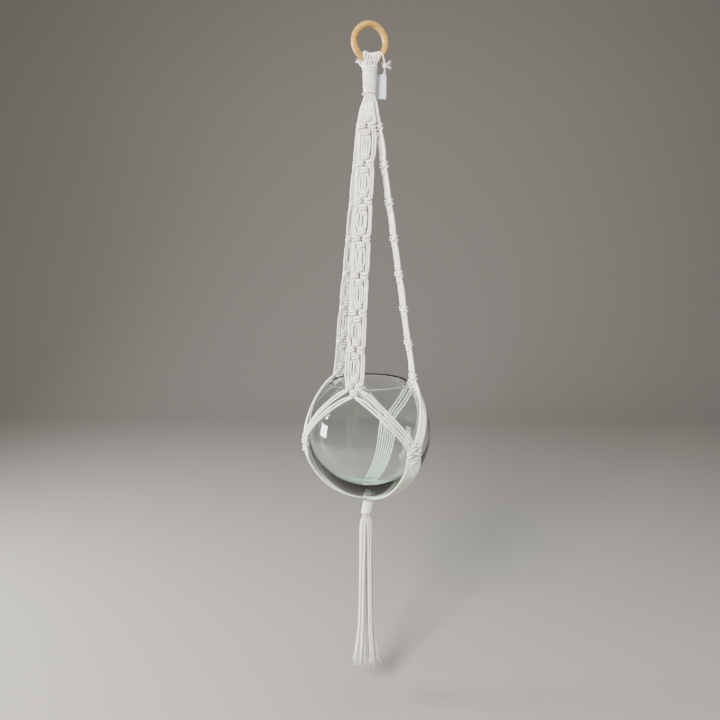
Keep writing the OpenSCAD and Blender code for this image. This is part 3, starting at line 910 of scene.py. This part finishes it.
# %% Clear glass
def glass_finish():
    finish, tree = new_finish("clear_blown_glass")
    place = put(tree, "ShaderNodeTexCoord").outputs["Object"]
    waves = put(tree, "ShaderNodeTexNoise", {"Vector": place}, Scale=14.0, Detail=1.5)
    bump = put(tree, "ShaderNodeBump", {"Height": waves.outputs["Fac"]}, Strength=0.05, Distance=0.002)
    shader = put(tree, "ShaderNodeBsdfPrincipled", {"Normal": bump.outputs["Normal"]})
    shader.inputs["Base Color"].default_value = (1.0, 1.0, 1.0, 1)
    shader.inputs["Roughness"].default_value = 0.0
    shader.inputs["IOR"].default_value = 1.5
    shader.inputs["Transmission Weight"].default_value = 1.0
    inside = put(tree, "ShaderNodeVolumeAbsorption")
    inside.inputs["Color"].default_value = (0.12, 0.66, 0.42, 1)
    inside.inputs["Density"].default_value = 14.0
    shadow = put(tree, "ShaderNodeLightPath").outputs["Is Shadow Ray"]
    clear = put(tree, "ShaderNodeBsdfTransparent")
    clear.inputs["Color"].default_value = (0.90, 0.95, 0.92, 1)
    surface = put(tree, "ShaderNodeMixShader", {
        0: shadow, 1: shader.outputs["BSDF"], 2: clear.outputs["BSDF"]})
    put(tree, "ShaderNodeOutputMaterial", {
        "Surface": surface.outputs["Shader"], "Volume": inside.outputs["Volume"]})
    return finish


globe.data.materials.append(glass_finish())
print("globe glazed")

# %% [markdown]
# ## Woven tape
#
# The label is a fine satin weave, so pale that it looks a little blue beside the cotton. Two crossed
# waves make the threads.

# %% Woven tape
def tape_finish():
    finish, tree = new_finish("woven_tape")
    along = put(tree, "ShaderNodeUVMap", uv_map="along").outputs["UV"]
    across = put(tree, "ShaderNodeTexWave", {"Vector": along}, bands_direction="X", Scale=9.0,
                 Distortion=0.4)
    down = put(tree, "ShaderNodeTexWave", {"Vector": along}, bands_direction="Y", Scale=12.0,
               Distortion=0.4)
    weave = put(tree, "ShaderNodeMath", {0: across.outputs["Fac"], 1: down.outputs["Fac"]},
                operation="MULTIPLY")
    colour = colour_steps(tree, weave.outputs[0], [(0.0, (0.66, 0.71, 0.78)), (0.7, (0.86, 0.885, 0.92))])
    bump = put(tree, "ShaderNodeBump", {"Height": weave.outputs[0]}, Strength=0.4, Distance=0.0002)
    shader = put(tree, "ShaderNodeBsdfPrincipled", {"Base Color": colour, "Normal": bump.outputs["Normal"]})
    shader.inputs["Roughness"].default_value = 0.6
    shader.inputs["Sheen Weight"].default_value = 0.2
    put(tree, "ShaderNodeOutputMaterial", {"Surface": shader.outputs["BSDF"]})
    return finish


tape.data.materials.append(tape_finish())
print("label woven")

# %% [markdown]
# ## The studio
#
# A pale floor that curves up into a wall, so that no line cuts behind the object, and large soft
# lights. Two panes of a window at one side are the only lights mirrored in the glass; the large soft
# ones only light. The wall is kept dimmer than the cotton so that the pale cords stand out from it.

# %% The floor and wall
FLOOR_Z = -1.075


def curved_floor(width=9.0, front=-4.5, wall=3.2, height=6.0, bend=1.4):
    line = [(front, FLOOR_Z), (wall - bend, FLOOR_Z)]
    line += [(wall - bend + bend * math.sin(a), FLOOR_Z + bend - bend * math.cos(a))
             for a in np.linspace(0, math.pi / 2, 24)[1:]]
    line += [(wall, FLOOR_Z + height)]
    points = [(x, y, z) for y, z in line for x in (-width / 2, width / 2)]
    faces = [(2 * i, 2 * i + 1, 2 * i + 3, 2 * i + 2) for i in range(len(line) - 1)]
    mesh = bpy.data.meshes.new("studio_floor")
    mesh.from_pydata(points, [], faces)
    mesh.polygons.foreach_set("use_smooth", np.ones(len(mesh.polygons), dtype=bool))
    piece = bpy.data.objects.new("studio_floor", mesh)
    bpy.context.scene.collection.objects.link(piece)
    return piece


floor = curved_floor()
floor.rotation_euler = (0, 0, math.radians(TURNED))
paper, paper_tree = new_finish("matt_paper")
paper_shader = put(paper_tree, "ShaderNodeBsdfPrincipled")
paper_shader.inputs["Base Color"].default_value = (0.27, 0.25, 0.225, 1)
paper_shader.inputs["Roughness"].default_value = 0.9
put(paper_tree, "ShaderNodeOutputMaterial", {"Surface": paper_shader.outputs["BSDF"]})
floor.data.materials.append(paper)
print("floor at", FLOOR_Z, "m")


# %% The lights
def soft_light(name, place, aim, size, power, colour, mirrored=True):
    data = bpy.data.lights.new(name, "AREA")
    data.shape = "RECTANGLE"
    data.size, data.size_y = size
    data.energy = power
    data.color = colour
    light = bpy.data.objects.new(name, data)
    light.location = place
    light.visible_glossy = mirrored
    light.visible_transmission = mirrored
    light.rotation_euler = (Vector(aim) - Vector(place)).to_track_quat("-Z", "Y").to_euler()
    bpy.context.scene.collection.objects.link(light)


soft_light("upper_pane", (-1.33, 0.68, -0.04), (0, 0, -0.6), (0.42, 0.40), 30, (0.98, 1.0, 1.0))
soft_light("lower_pane", (-1.49, 0.57, -0.62), (0, 0, -0.6), (0.42, 0.40), 30, (0.98, 1.0, 1.0))
soft_light("front", (-1.3, -1.2, 0.5), (0, 0, -0.4), (0.6, 0.6), 128, (1.0, 0.99, 0.965), False)
soft_light("fill", (1.2, -1.3, -0.5), (0, 0, -0.55), (0.8, 0.8), 16, (0.98, 0.99, 1.0), False)
soft_light("top", (0.2, 0.1, 1.3), (0, 0, -0.4), (1.0, 1.0), 26, (1.0, 1.0, 1.0), False)
world = bpy.data.worlds.new("studio_air")
world.use_nodes = True
world.node_tree.nodes["Background"].inputs["Color"].default_value = (0.92, 0.95, 1.0, 1)
world.node_tree.nodes["Background"].inputs["Strength"].default_value = 0.13
bpy.context.scene.world = world
print("5 lights")
